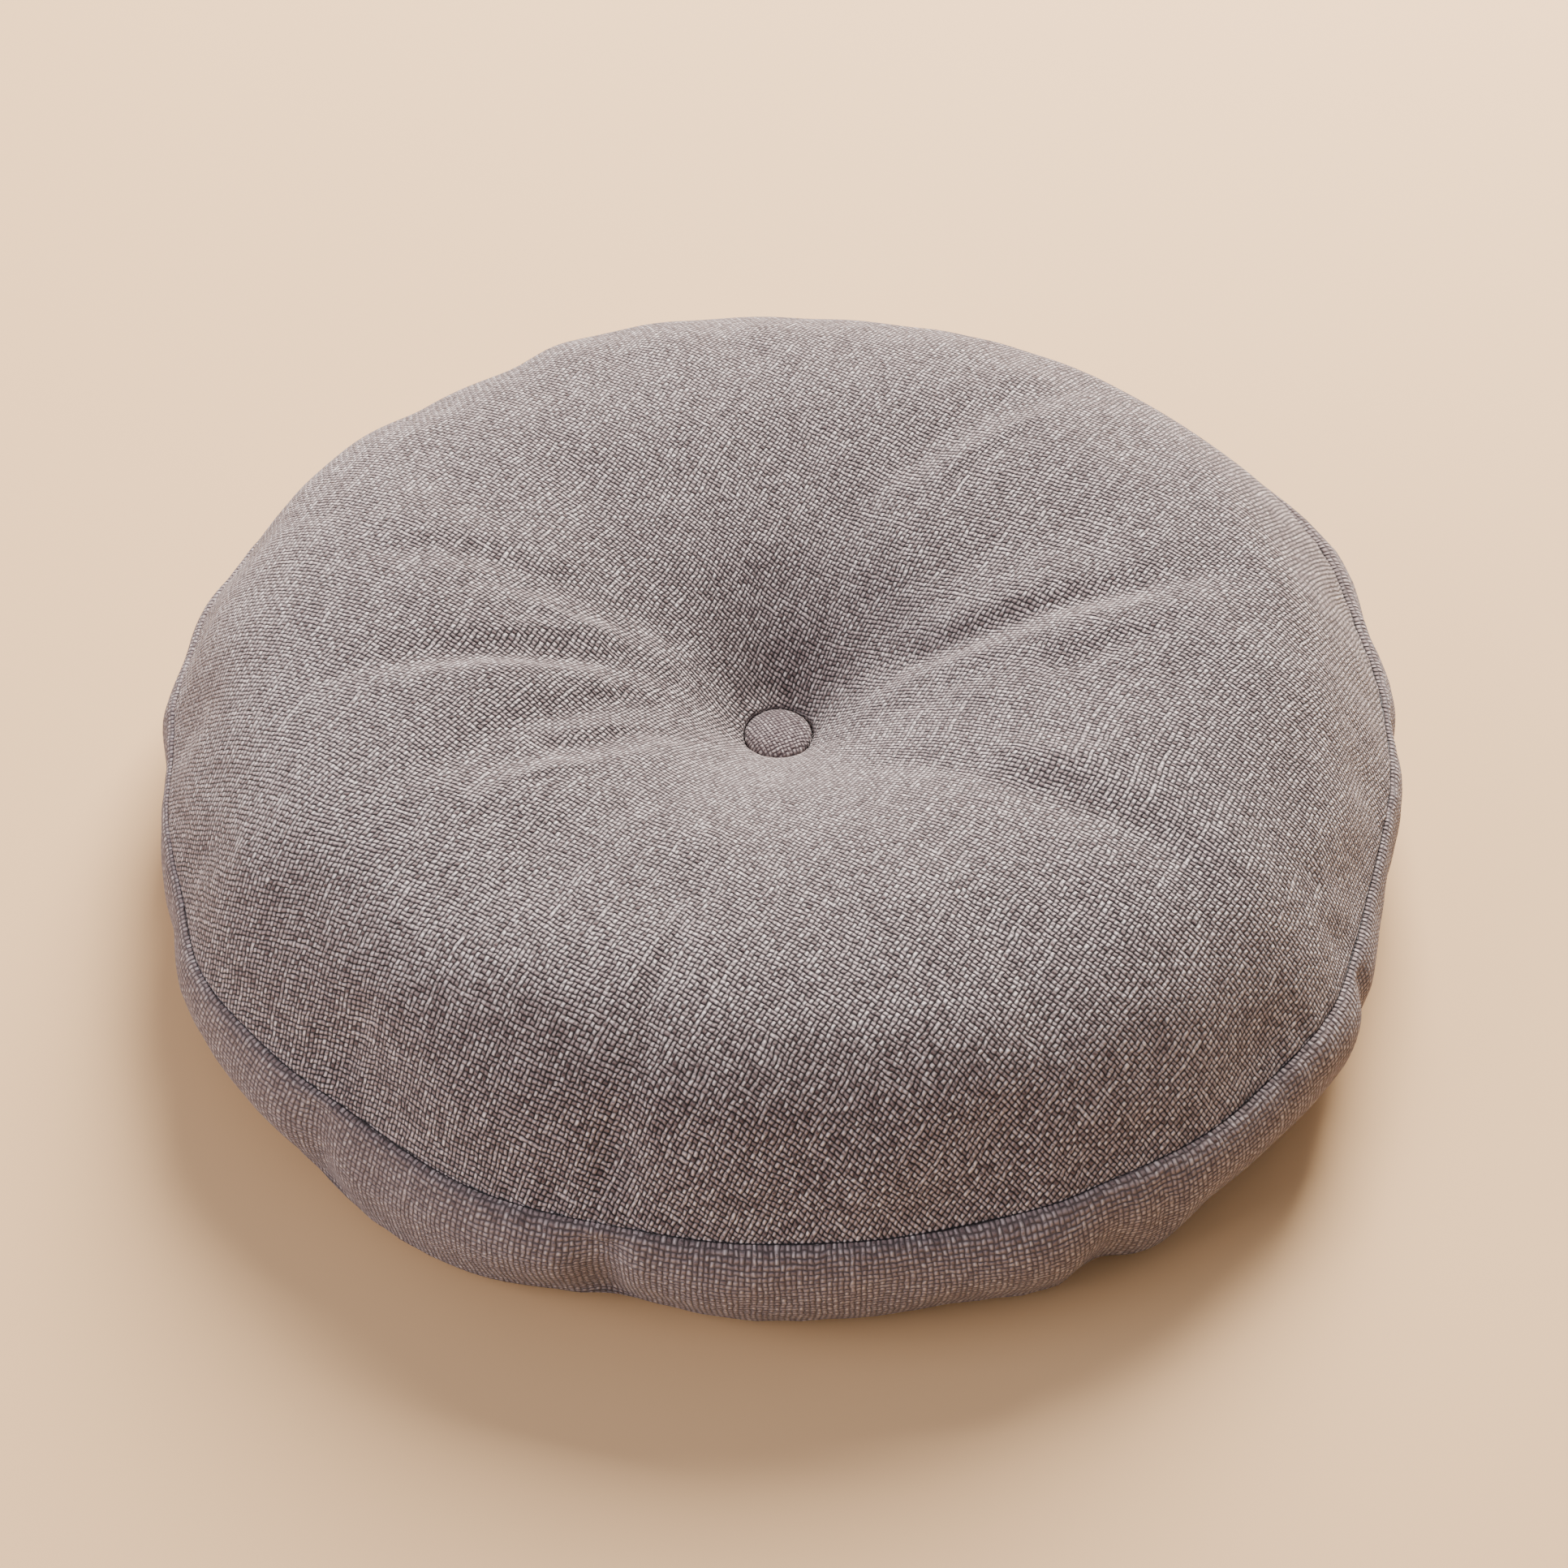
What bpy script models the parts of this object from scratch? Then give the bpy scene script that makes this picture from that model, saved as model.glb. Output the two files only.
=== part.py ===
"""A zafu: a round, button-tufted floor cushion of three sewn cloth pieces, filled and lying flat.

Metres, +Z up. The floor is Z = 0 and the Z axis runs through the middle of the cushion. +X is to the right
of someone who stands at -Y and looks at the cushion. The cloth is described by its outer face: the top
panel from the button out to the upper seam, the side band down to the lower seam, and the bottom panel
back to the middle. One function puts a point of that cloth in place, and every sewn piece is made with it.
"""
import math
from typing import NamedTuple

import bmesh
import bpy
from mathutils import Vector

# Driving dimensions
MM = 0.001
UPPER_SEAM_HEIGHT = 51.0 * MM
PANEL_THICKNESS = 1.5 * MM
CLEARANCE = 0.3 * MM
BUTTON_DIAMETER = 24.0 * MM
BUTTON_DOME = 6.0 * MM
BUTTON_RIM = 1.6 * MM
BUTTON_OFFSET = Vector((-0.8, -0.4, 0.0)) * MM
BUTTON_PULL_SHARE = 0.7
SEAM_CENTRE = Vector((0.7, 1.3, 0.0)) * MM

# How finely the cloth is cut into faces
MERIDIANS = 96
BUTTON_SIDES = 28
BUTTON_ARC = 5
MERGE_DISTANCE = 0.00005
SHARP_ANGLE = math.radians(50.0)
FULL_TURN = 2.0 * math.pi

# Depths below the cloth's outer face
OUTER_FACE = 0.0
PANEL_INNER_FACE = PANEL_THICKNESS
BODY_FACE = PANEL_THICKNESS + CLEARANCE


class Outline(NamedTuple):
    """How the round varies with the angle from +X, in millimetres.

    It gives the upper seam's radius, how far the band bulges out, how much the crown is lifted, how high the
    lower seam is, and how much smaller its radius is than the upper one's.
    """

    degrees: float
    seam: float
    bulge: float
    crown: float
    foot: float
    tuck: float


OUTLINE = (
    Outline(0, 217.5, 6.5, 1.0, 6.0, 1.5),
    Outline(14, 219.5, 9.0, 1.0, 6.0, 1.0),
    Outline(28, 225.0, 10.0, -1.5, 6.0, 0.0),
    Outline(50, 219.5, 7.0, -4.0, 6.0, 1.5),
    Outline(70, 216.5, 5.5, -5.0, 6.0, 1.5),
    Outline(90, 215.5, 5.5, -6.0, 6.0, 1.5),
    Outline(110, 216.5, 5.5, -5.5, 6.0, 1.5),
    Outline(130, 217.0, 5.0, -6.0, 6.0, 1.5),
    Outline(146, 222.0, 5.5, -3.5, 6.0, 1.5),
    Outline(158, 220.5, 6.0, 0.0, 6.0, 1.5),
    Outline(172, 219.0, 6.5, 0.5, 6.0, 0.0),
    Outline(188, 218.0, 4.5, 0.5, 6.0, 3.5),
    Outline(198, 218.5, 6.5, 0.5, 6.0, 0.0),
    Outline(208, 223.5, 7.5, 0.0, 6.0, 2.0),
    Outline(220, 220.5, 8.0, -0.5, 6.0, 0.0),
    Outline(232, 218.0, 7.5, -0.5, 4.0, -4.0),
    Outline(243, 221.0, 8.5, 0.0, 7.0, -3.5),
    Outline(251, 219.0, 10.0, 0.0, 9.5, -1.5),
    Outline(257, 218.0, 10.0, 0.0, 8.5, 3.5),
    Outline(268, 219.0, 11.0, 0.5, 5.0, 2.0),
    Outline(280, 219.0, 10.0, 0.5, 6.0, 2.0),
    Outline(290, 220.5, 11.5, 0.5, 5.5, -1.5),
    Outline(294, 221.5, 10.5, 0.5, 5.0, -2.5),
    Outline(298, 221.0, 9.0, 0.0, 5.5, 2.5),
    Outline(303, 222.0, 11.0, 0.0, 5.5, -2.0),
    Outline(310, 223.5, 9.5, 0.0, 6.5, 2.5),
    Outline(318, 223.0, 9.0, 0.0, 6.0, 0.5),
    Outline(326, 222.0, 10.0, 0.0, 7.0, 3.0),
    Outline(334, 218.0, 8.5, 0.0, 7.0, 1.0),
    Outline(341, 215.5, 6.5, 0.0, 7.0, 2.0),
    Outline(349, 215.5, 5.5, 0.0, 6.5, 1.5),
)


class Height(NamedTuple):
    """A point of a panel's section: its share of the seam's radius and its height in millimetres."""

    share: float
    height: float


TOP_SECTION = (
    Height(0.000, 51.5),
    Height(0.060, 51.5),
    Height(0.068, 57.0),
    Height(0.100, 63.5),
    Height(0.180, 77.0),
    Height(0.310, 93.5),
    Height(0.460, 104.0),
    Height(0.620, 107.5),
    Height(0.760, 103.0),
    Height(0.870, 89.5),
    Height(0.945, 71.0),
    Height(1.000, 51.0),
)
BOTTOM_SECTION = (
    Height(0.000, 13.0),
    Height(0.060, 13.0),
    Height(0.080, 10.0),
    Height(0.160, 3.8),
    Height(0.270, 0.0),
    Height(0.890, 0.0),
    Height(0.955, 1.6),
    Height(1.000, 6.0),
)
BAND_ROUNDNESS = 0.95
BAND_LEAN = 0.65

# The dimple round the button is steeper behind it than in front: its tilt, which way and how far that reaches
DIMPLE_TILT = 0.09
DIMPLE_TILT_DEGREES = 112.0
DIMPLE_REACH = 60.0 * MM

# Where the crown's lift fades out, as shares of the seam's radius from the middle and from the seam
CROWN_FADE_INNER = 0.5
CROWN_FADE_OUTER = 0.3

# Where the rings of faces lie: shares of the seam's radius on a panel, shares of the band's height
TOP_RINGS = (0.060, 0.068, 0.095, 0.14, 0.20, 0.28, 0.37, 0.46, 0.55, 0.64, 0.73, 0.81, 0.875, 0.925, 0.965)
BAND_RINGS = (0.12, 0.3, 0.5, 0.7, 0.88)
BOTTOM_RINGS = (0.06, 0.08, 0.16, 0.27, 0.89, 0.955)


class Fold(NamedTuple):
    """A fold that runs out from the button: angles and radii of its ends, then its size in millimetres.

    The ridge rises by lift, and the trough beside it sinks by dip. A side of 1 puts the trough at the larger
    angle, and -1 at the smaller.
    """

    name: str
    inner_degrees: float
    outer_degrees: float
    start: float
    end: float
    half_width: float
    lift: float
    dip: float
    side: int


FOLDS = (
    Fold("right_sharp", -4.0, 9.0, 20.0, 178.0, 6.5, 1.6, 4.8, 1),
    Fold("right_back_soft", 58.0, 45.0, 50.0, 192.0, 10.0, 3.0, 1.5, 1),
    Fold("right_front", 330.0, 328.0, 35.0, 190.0, 9.0, 1.0, 3.5, -1),
    Fold("left_sharp", 190.0, 191.5, 20.0, 174.0, 6.5, 2.5, 4.5, -1),
    Fold("left_back", 171.0, 167.0, 22.0, 150.0, 8.0, 2.5, 3.0, -1),
    Fold("left_front", 209.0, 212.0, 24.0, 128.0, 6.5, 3.2, 3.8, -1),
    Fold("left_front_soft", 231.0, 211.0, 34.0, 150.0, 7.0, 3.0, 3.8, -1),
)
TROUGH_OFFSET = 1.9
FOLD_OPEN_SIDE = 2.4


class Pucker(NamedTuple):
    """A dent where the upper seam draws the cloth in: angle, then size in millimetres.

    It reaches in over the top panel and down the band.
    """

    degrees: float
    half_width: float
    reach: float
    down: float
    depth: float


PUCKERS = (
    Pucker(2.0, 8.0, 30.0, 60.0, 2.5),
    Pucker(158.0, 8.0, 34.0, 60.0, 2.0),
    Pucker(227.0, 9.0, 30.0, 90.0, 3.0),
    Pucker(255.0, 8.0, 42.0, 90.0, 4.5),
    Pucker(303.0, 5.0, 12.0, 46.0, 3.0),
    Pucker(331.5, 5.0, 14.0, 34.0, 3.4),
)
PUCKER_EDGE_SHARE = 0.06
PUCKER_SLOPE = 0.7
PUCKER_BAND_EDGE = 0.12

# How much closer together the lines of faces run across a fold or a pucker, and how wide that stretch is
CROWDING = 1.6
CROWDING_LIMIT = 1.5
CROWDED_DEGREES = 7.0


def ease(share):
    """A smooth step from 0 to 1."""
    share = min(max(share, 0.0), 1.0)
    return share * share * (3.0 - 2.0 * share)


def bump(distance):
    """A soft hump of height 1 at distance 0, level with its ground from about distance 2."""
    return math.exp(-distance * distance)


def curve_through(points, place):
    """Read a smooth curve through (place, value) points, with no overshoot between them."""
    slopes = []
    for (x0, y0), (x1, y1) in zip(points, points[1:]):
        slopes.append((y1 - y0) / (x1 - x0))
    tangents = [slopes[0]]
    for before, after in zip(slopes, slopes[1:]):
        same_way = before * after > 0.0
        tangents.append(2.0 * before * after / (before + after) if same_way else 0.0)
    tangents.append(slopes[-1])
    index = 0
    while index < len(slopes) - 1 and place > points[index + 1][0]:
        index += 1
    (x0, y0), (x1, y1) = points[index], points[index + 1]
    span = x1 - x0
    t = (place - x0) / span
    lean = t * (1.0 - t) ** 2 * tangents[index] - t * t * (1.0 - t) * tangents[index + 1]
    return y0 + (y1 - y0) * ease(t) + span * lean


def round_value(name, angle):
    """Read one column of OUTLINE at an angle in radians, smoothly all the way round, in metres."""
    rows = [(row.degrees, getattr(row, name)) for row in OUTLINE]
    turn = [(rows[-1][0] - 360.0, rows[-1][1])] + rows + [(rows[0][0] + 360.0, rows[0][1])]
    return curve_through(turn, math.degrees(angle) % 360.0) * MM


def turn_between(angle, other):
    """The turn from one angle to another in radians, the short way round."""
    return (angle - other + math.pi) % FULL_TURN - math.pi


def fold_angle(fold, share):
    """The angle in radians of a fold's ridge at a share of its length."""
    inner = math.radians(fold.inner_degrees)
    return inner + turn_between(math.radians(fold.outer_degrees), inner) * share


def fold_height(radius, angle):
    """How far the folds from the button lift the top panel at a place in plan, in metres."""
    height = 0.0
    for fold in FOLDS:
        share = (radius / MM - fold.start) / (fold.end - fold.start)
        if not 0.0 < share < 1.0:
            continue
        across = radius / MM * turn_between(angle, fold_angle(fold, share)) / fold.half_width
        taper = ease(3.0 * share) * ease(1.8 * (1.0 - share))
        trough = bump(across - TROUGH_OFFSET * fold.side)
        ridge = bump(across / FOLD_OPEN_SIDE if across * fold.side < 0.0 else across)
        height += taper * (fold.lift * ridge - fold.dip * trough)
    return height * MM


def pucker_depth(way, distance, angle, seam):
    """How deep the seam's dents are at a distance from it on its "reach" or "down" side, in metres."""
    depth = 0.0
    for pucker in PUCKERS:
        across = seam / MM * turn_between(angle, math.radians(pucker.degrees)) / pucker.half_width
        depth += pucker.depth * bump(across) * ease(1.0 - distance / MM / getattr(pucker, way))
    return depth * MM


def panel_place(radius, height, share, angle):
    """A point of a panel: the button pulls the middle of the panel aside, and the seam doesn't follow."""
    aside = BUTTON_OFFSET * (1.0 - ease(share / BUTTON_PULL_SHARE))
    return SEAM_CENTRE + aside + Vector((radius * math.cos(angle), radius * math.sin(angle), height))


def top_point(share, angle):
    """The top panel's outer face at a share of the seam's radius."""
    seam = round_value("seam", angle)
    radius = share * seam
    lift = round_value("crown", angle)
    lift *= ease(share / CROWN_FADE_INNER) * ease((1.0 - share) / CROWN_FADE_OUTER)
    dent = pucker_depth("reach", (1.0 - share) * seam, angle, seam)
    dent *= ease((1.0 - share) / PUCKER_EDGE_SHARE)
    height = curve_through(TOP_SECTION, share) * MM + lift + fold_height(radius, angle)
    tilt = DIMPLE_TILT * math.cos(angle - math.radians(DIMPLE_TILT_DEGREES)) * bump(radius / DIMPLE_REACH)
    height += tilt * max(0.0, radius - BUTTON_DIAMETER / 2.0)
    return panel_place(radius - PUCKER_SLOPE * dent, height - PUCKER_SLOPE * dent, share, angle)


def band_point(share, angle):
    """The side band's outer face at a share of the way down from the upper seam to the lower one."""
    seam = round_value("seam", angle)
    drop = (UPPER_SEAM_HEIGHT - round_value("foot", angle)) * share
    dent = pucker_depth("down", drop, angle, seam)
    dent *= ease(share / PUCKER_BAND_EDGE) * ease((1.0 - share) / PUCKER_BAND_EDGE)
    belly = round_value("bulge", angle) * math.sin(math.pi * share ** BAND_LEAN) ** BAND_ROUNDNESS
    radius = seam - round_value("tuck", angle) * share + belly - dent
    height = UPPER_SEAM_HEIGHT - drop
    return SEAM_CENTRE + Vector((radius * math.cos(angle), radius * math.sin(angle), height))


def bottom_point(share, angle):
    """The bottom panel's outer face at a share of the lower seam's radius."""
    radius = share * (round_value("seam", angle) - round_value("tuck", angle))
    flat_edge = BOTTOM_SECTION[-3].share
    rise = round_value("foot", angle) - BOTTOM_SECTION[-1].height * MM
    rise *= ease((share - flat_edge) / (1.0 - flat_edge))
    return panel_place(radius, curve_through(BOTTOM_SECTION, share) * MM + rise, share, angle)


POINT_OF = {"top": top_point, "band": band_point, "bottom": bottom_point}
STRAIGHT_IN = {"top": Vector((0.0, 0.0, -1.0)), "bottom": Vector((0.0, 0.0, 1.0))}
PROBE = 0.002


def cloth_point(sheet, share, angle, depth):
    """A point of a sheet of the cover, at a depth below its outer face."""
    point_at = POINT_OF[sheet]
    point = point_at(share, angle)
    if depth == OUTER_FACE:
        return point
    if share == 0.0:
        return point + STRAIGHT_IN[sheet] * depth
    along = point_at(min(share + PROBE, 1.0), angle) - point_at(share - PROBE, angle)
    around = point_at(share, angle + PROBE) - point_at(share, angle - PROBE)
    inwards = around.cross(along) if sheet == "top" else along.cross(around)
    return point + inwards.normalized() * depth


def meridian_angles():
    """Angles of the lines of faces that run out from the middle, closer together across the folds."""
    steps = 720
    marks = [fold_angle(fold, 0.5) for fold in FOLDS]
    marks += [math.radians(pucker.degrees) for pucker in PUCKERS]
    sums = [0.0]
    for step in range(steps):
        here = (step + 0.5) * FULL_TURN / steps
        near = sum(bump(math.degrees(turn_between(here, mark)) / CROWDED_DEGREES) for mark in marks)
        sums.append(sums[-1] + 1.0 + CROWDING * min(near, CROWDING_LIMIT))
    angles = []
    place = 0
    for line in range(MERIDIANS):
        wanted = sums[-1] * line / MERIDIANS
        while sums[place + 1] < wanted:
            place += 1
        part = (wanted - sums[place]) / (sums[place + 1] - sums[place])
        angles.append((place + part) * FULL_TURN / steps)
    return angles


def spun(profile, steps):
    """Turn a row of (radius, height) points about the Z axis into a closed skin of faces."""
    bm = bmesh.new()
    row = [bm.verts.new((radius, 0.0, height)) for radius, height in profile]
    edges = [bm.edges.new(pair) for pair in zip(row, row[1:])]
    bmesh.ops.spin(bm, geom=row + edges, cent=(0, 0, 0), axis=(0, 0, 1), angle=FULL_TURN,
                   steps=steps, use_merge=True)
    return bm


def ring_of(vert, rings):
    """The ring that a point of the flat disc lies on."""
    return rings[round(vert.co.xy.length) - 1]


def cut_across(bm, rings):
    """Cut every face of the flat disc in two, the same way on each side of a sheet.

    The cut runs from the smaller share on one line of faces to the larger share on the next line.
    """
    for face in list(bm.faces):
        corners = sorted(face.verts, key=lambda vert: ring_of(vert, rings)[1])
        middle = face.calc_center_median()
        ahead = [middle.x * vert.co.y - middle.y * vert.co.x > 0.0 for vert in corners]
        first = corners[1] if ahead[0] else corners[0]
        last = corners[2] if ahead[2] else corners[3]
        bmesh.utils.face_split(face, first, last)


def cloth_piece(name, rings):
    """Make a piece from a row of (sheet, share, depth) rings.

    The row is first spun as a flat disc whose radius counts the rings, and then each point goes to its
    place. So every sewn piece is cut into faces along the same lines, and the pieces stay parallel.
    """
    bm = spun([(1.0 + index, 0.0) for index in range(len(rings))], MERIDIANS)
    cut_across(bm, rings)
    angles = meridian_angles()
    for vert in bm.verts:
        line = round(math.atan2(vert.co.y, vert.co.x) / FULL_TURN * MERIDIANS) % MERIDIANS
        sheet, share, depth = ring_of(vert, rings)
        vert.co = cloth_point(sheet, share, angles[line], depth)
    return finished(name, bm)


def finished(name, bm):
    """Close a spun shape's poles, turn its faces outwards and make it a smoothly shaded object."""
    bmesh.ops.remove_doubles(bm, verts=bm.verts, dist=MERGE_DISTANCE)
    bm.normal_update()
    bmesh.ops.recalc_face_normals(bm, faces=bm.faces)
    mesh = bpy.data.meshes.new(name)
    bm.to_mesh(mesh)
    bm.free()
    mesh.shade_smooth()
    mesh.set_sharp_from_angle(angle=SHARP_ANGLE)
    piece = bpy.data.objects.new(name, mesh)
    bpy.context.scene.collection.objects.link(piece)
    return piece


def rings_of(sheet, shares, depth):
    """Rings of one sheet at one depth."""
    return [(sheet, share, depth) for share in shares]


def build_body():
    """The filled body, whose side is the band: it fills the cover up to just under both panels."""
    rings = rings_of("top", (0.0,) + TOP_RINGS + (1.0,), BODY_FACE)
    rings += rings_of("band", (0.0,) + BAND_RINGS + (1.0,), OUTER_FACE)
    rings += rings_of("bottom", (1.0,) + BOTTOM_RINGS[::-1] + (0.0,), BODY_FACE)
    return cloth_piece("cushion_body", rings)


def build_panel(name, sheet, shares):
    """A round panel of cloth that stops just short of its seam."""
    edge = 1.0 - CLEARANCE / min(row.seam * MM for row in OUTLINE)
    outwards = (0.0,) + shares + (edge,)
    rings = rings_of(sheet, outwards, OUTER_FACE)
    rings += rings_of(sheet, outwards[::-1], PANEL_INNER_FACE)
    return cloth_piece(name, rings)


def build_button(name, seat_height, facing):
    """A cloth-covered button: a domed face over a flat back, facing up for 1 and down for -1."""
    radius = BUTTON_DIAMETER / 2.0
    shoulder = 1.3 * BUTTON_RIM
    profile = [(0.0, 0.0), (radius - BUTTON_RIM, 0.0), (radius, 0.5 * BUTTON_RIM), (radius, shoulder)]
    for step in range(1, BUTTON_ARC):
        turn = math.pi / 2.0 * step / BUTTON_ARC
        profile.append((radius * math.cos(turn), shoulder + (BUTTON_DOME - shoulder) * math.sin(turn)))
    profile.append((0.0, BUTTON_DOME))
    bm = spun(profile, BUTTON_SIDES)
    bmesh.ops.scale(bm, vec=(1.0, 1.0, facing), verts=bm.verts)
    button = finished(name, bm)
    button.location = SEAM_CENTRE + BUTTON_OFFSET + Vector((0.0, 0.0, seat_height + CLEARANCE * facing))
    return button


def dress(piece, name, colour, roughness):
    """Give a piece its own plain cloth material."""
    material = bpy.data.materials.new(name)
    material.use_nodes = True
    shader = material.node_tree.nodes["Principled BSDF"]
    shader.inputs["Base Color"].default_value = (*colour, 1.0)
    shader.inputs["Roughness"].default_value = roughness
    shader.inputs["Metallic"].default_value = 0.0
    piece.data.materials.append(material)


def main():
    """Build the cushion's pieces and dress them."""
    for old in list(bpy.data.objects):
        bpy.data.objects.remove(old)
    mauve_grey = (0.33, 0.28, 0.28)
    shaded_grey = (0.29, 0.25, 0.25)
    woven = 0.9
    top_seat = TOP_SECTION[0].height * MM
    bottom_seat = BOTTOM_SECTION[0].height * MM
    dress(build_body(), "cloth_of_the_band", mauve_grey, woven)
    dress(build_panel("top_panel", "top", TOP_RINGS), "cloth_of_the_top", mauve_grey, woven)
    dress(build_panel("bottom_panel", "bottom", BOTTOM_RINGS), "cloth_of_the_bottom", mauve_grey, woven)
    dress(build_button("top_button", top_seat, 1), "cloth_of_the_top_button", shaded_grey, woven)
    dress(build_button("bottom_button", bottom_seat, -1), "cloth_of_the_bottom_button", shaded_grey, woven)


main()
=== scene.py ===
"""Looks of a zafu: a round, button-tufted floor cushion in a mauve-grey linen-look cloth.

Metres, +Z up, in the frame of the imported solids. The cover is one closed skin, cut into a top panel, a side
band and a bottom panel by two plain seams. A point of it is given by its station and its angle: station 0 is
the middle of the top panel, 1 the upper seam, 2 the lower seam and 3 the middle of the bottom panel.
"""

import logging
import math
from dataclasses import dataclass, field
from enum import Enum
from typing import Callable, NamedTuple

import bmesh
import bpy
import numpy as np
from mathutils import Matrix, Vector


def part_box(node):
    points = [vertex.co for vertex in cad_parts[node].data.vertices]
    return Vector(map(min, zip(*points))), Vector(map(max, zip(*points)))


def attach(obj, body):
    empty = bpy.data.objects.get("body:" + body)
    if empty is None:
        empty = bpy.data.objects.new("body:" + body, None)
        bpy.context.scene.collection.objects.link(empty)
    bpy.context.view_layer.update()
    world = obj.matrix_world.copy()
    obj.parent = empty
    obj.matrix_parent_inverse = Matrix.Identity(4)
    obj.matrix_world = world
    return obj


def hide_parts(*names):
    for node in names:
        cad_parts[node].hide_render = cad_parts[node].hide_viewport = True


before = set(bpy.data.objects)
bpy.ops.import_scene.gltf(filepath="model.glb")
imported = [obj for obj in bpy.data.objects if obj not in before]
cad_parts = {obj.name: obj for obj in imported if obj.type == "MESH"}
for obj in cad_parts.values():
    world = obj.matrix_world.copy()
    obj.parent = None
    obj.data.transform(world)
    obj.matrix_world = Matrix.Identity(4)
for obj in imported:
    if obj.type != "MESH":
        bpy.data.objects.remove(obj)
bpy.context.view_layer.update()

log = logging.getLogger("zafu")

MM = 0.001
FULL_TURN = 2.0 * math.pi
MERGE_DISTANCE = 0.00005


class Outline(NamedTuple):
    """How the round varies with the angle from +X: millimetres at an angle in degrees."""

    degrees: float
    seam: float
    bulge: float
    crown: float
    foot: float
    tuck: float


OUTLINE = (
    Outline(0, 217.5, 6.5, 1.0, 6.0, 1.5),
    Outline(14, 219.5, 9.0, 1.0, 6.0, 1.0),
    Outline(28, 225.0, 10.0, -1.5, 6.0, 0.0),
    Outline(50, 219.5, 7.0, -4.0, 6.0, 1.5),
    Outline(70, 216.5, 5.5, -5.0, 6.0, 1.5),
    Outline(90, 215.5, 5.5, -6.0, 6.0, 1.5),
    Outline(110, 216.5, 5.5, -5.5, 6.0, 1.5),
    Outline(130, 217.0, 5.0, -6.0, 6.0, 1.5),
    Outline(146, 222.0, 5.5, -3.5, 6.0, 1.5),
    Outline(158, 220.5, 6.0, 0.0, 6.0, 1.5),
    Outline(172, 219.0, 6.5, 0.5, 6.0, 0.0),
    Outline(188, 218.0, 4.5, 0.5, 6.0, 3.5),
    Outline(198, 218.5, 6.5, 0.5, 6.0, 0.0),
    Outline(208, 223.5, 7.5, 0.0, 6.0, 2.0),
    Outline(220, 220.5, 8.0, -0.5, 6.0, 0.0),
    Outline(232, 218.0, 7.5, -0.5, 4.0, -4.0),
    Outline(243, 221.0, 8.5, 0.0, 7.0, -3.5),
    Outline(251, 219.0, 10.0, 0.0, 9.5, -1.5),
    Outline(257, 218.0, 10.0, 0.0, 8.5, 3.5),
    Outline(268, 219.0, 11.0, 0.5, 5.0, 2.0),
    Outline(280, 219.0, 10.0, 0.5, 6.0, 2.0),
    Outline(290, 220.5, 11.5, 0.5, 5.5, -1.5),
    Outline(294, 221.5, 10.5, 0.5, 5.0, -2.5),
    Outline(298, 221.0, 9.0, 0.0, 5.5, 2.5),
    Outline(303, 222.0, 11.0, 0.0, 5.5, -2.0),
    Outline(310, 223.5, 9.5, 0.0, 6.5, 2.5),
    Outline(318, 223.0, 9.0, 0.0, 6.0, 0.5),
    Outline(326, 222.0, 10.0, 0.0, 7.0, 3.0),
    Outline(334, 218.0, 8.5, 0.0, 7.0, 1.0),
    Outline(341, 215.5, 6.5, 0.0, 7.0, 2.0),
    Outline(349, 215.5, 5.5, 0.0, 6.5, 1.5),
)


class Height(NamedTuple):
    """A point of a panel's section: its share of the seam's radius and its height in millimetres."""

    share: float
    height: float


TOP_SECTION = (
    Height(0.0000, 51.3),
    Height(0.0555, 51.3),
    Height(0.0570, 54.6),
    Height(0.0660, 56.8),
    Height(0.1000, 63.5),
    Height(0.1800, 77.0),
    Height(0.3100, 93.5),
    Height(0.4600, 104.0),
    Height(0.6200, 107.5),
    Height(0.7600, 103.0),
    Height(0.8700, 89.5),
    Height(0.9450, 71.0),
    Height(1.0000, 51.0),
)
BOTTOM_SECTION = (
    Height(0.000, 13.2),
    Height(0.060, 13.2),
    Height(0.080, 10.0),
    Height(0.160, 3.8),
    Height(0.270, 0.0),
    Height(0.890, 0.0),
    Height(0.955, 1.6),
    Height(1.000, 6.0),
)


class Fold(NamedTuple):
    """A fold that runs out from the button: degrees and radii of its ends, then its size in millimetres."""

    name: str
    inner_degrees: float
    outer_degrees: float
    start: float
    end: float
    half_width: float
    lift: float
    dip: float
    side: int


FOLDS = (
    Fold("right_sharp", -4.0, 9.0, 20.0, 178.0, 6.5, 1.6, 4.8, 1),
    Fold("right_back_soft", 58.0, 45.0, 50.0, 192.0, 10.0, 3.0, 1.5, 1),
    Fold("right_front", 330.0, 328.0, 35.0, 190.0, 9.0, 1.0, 3.5, -1),
    Fold("left_sharp", 190.0, 191.5, 20.0, 174.0, 6.5, 2.5, 4.5, -1),
    Fold("left_back", 171.0, 167.0, 22.0, 150.0, 8.0, 2.5, 3.0, -1),
    Fold("left_front", 209.0, 212.0, 24.0, 128.0, 6.5, 3.2, 3.8, -1),
    Fold("left_front_soft", 231.0, 211.0, 34.0, 150.0, 7.0, 3.0, 3.8, -1),
)


class Pucker(NamedTuple):
    """A dent where the upper seam draws the cloth in: degrees, then its size in millimetres.

    It reaches in over the top panel and down the band.
    """

    degrees: float
    half_width: float
    reach: float
    down: float
    depth: float


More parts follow.
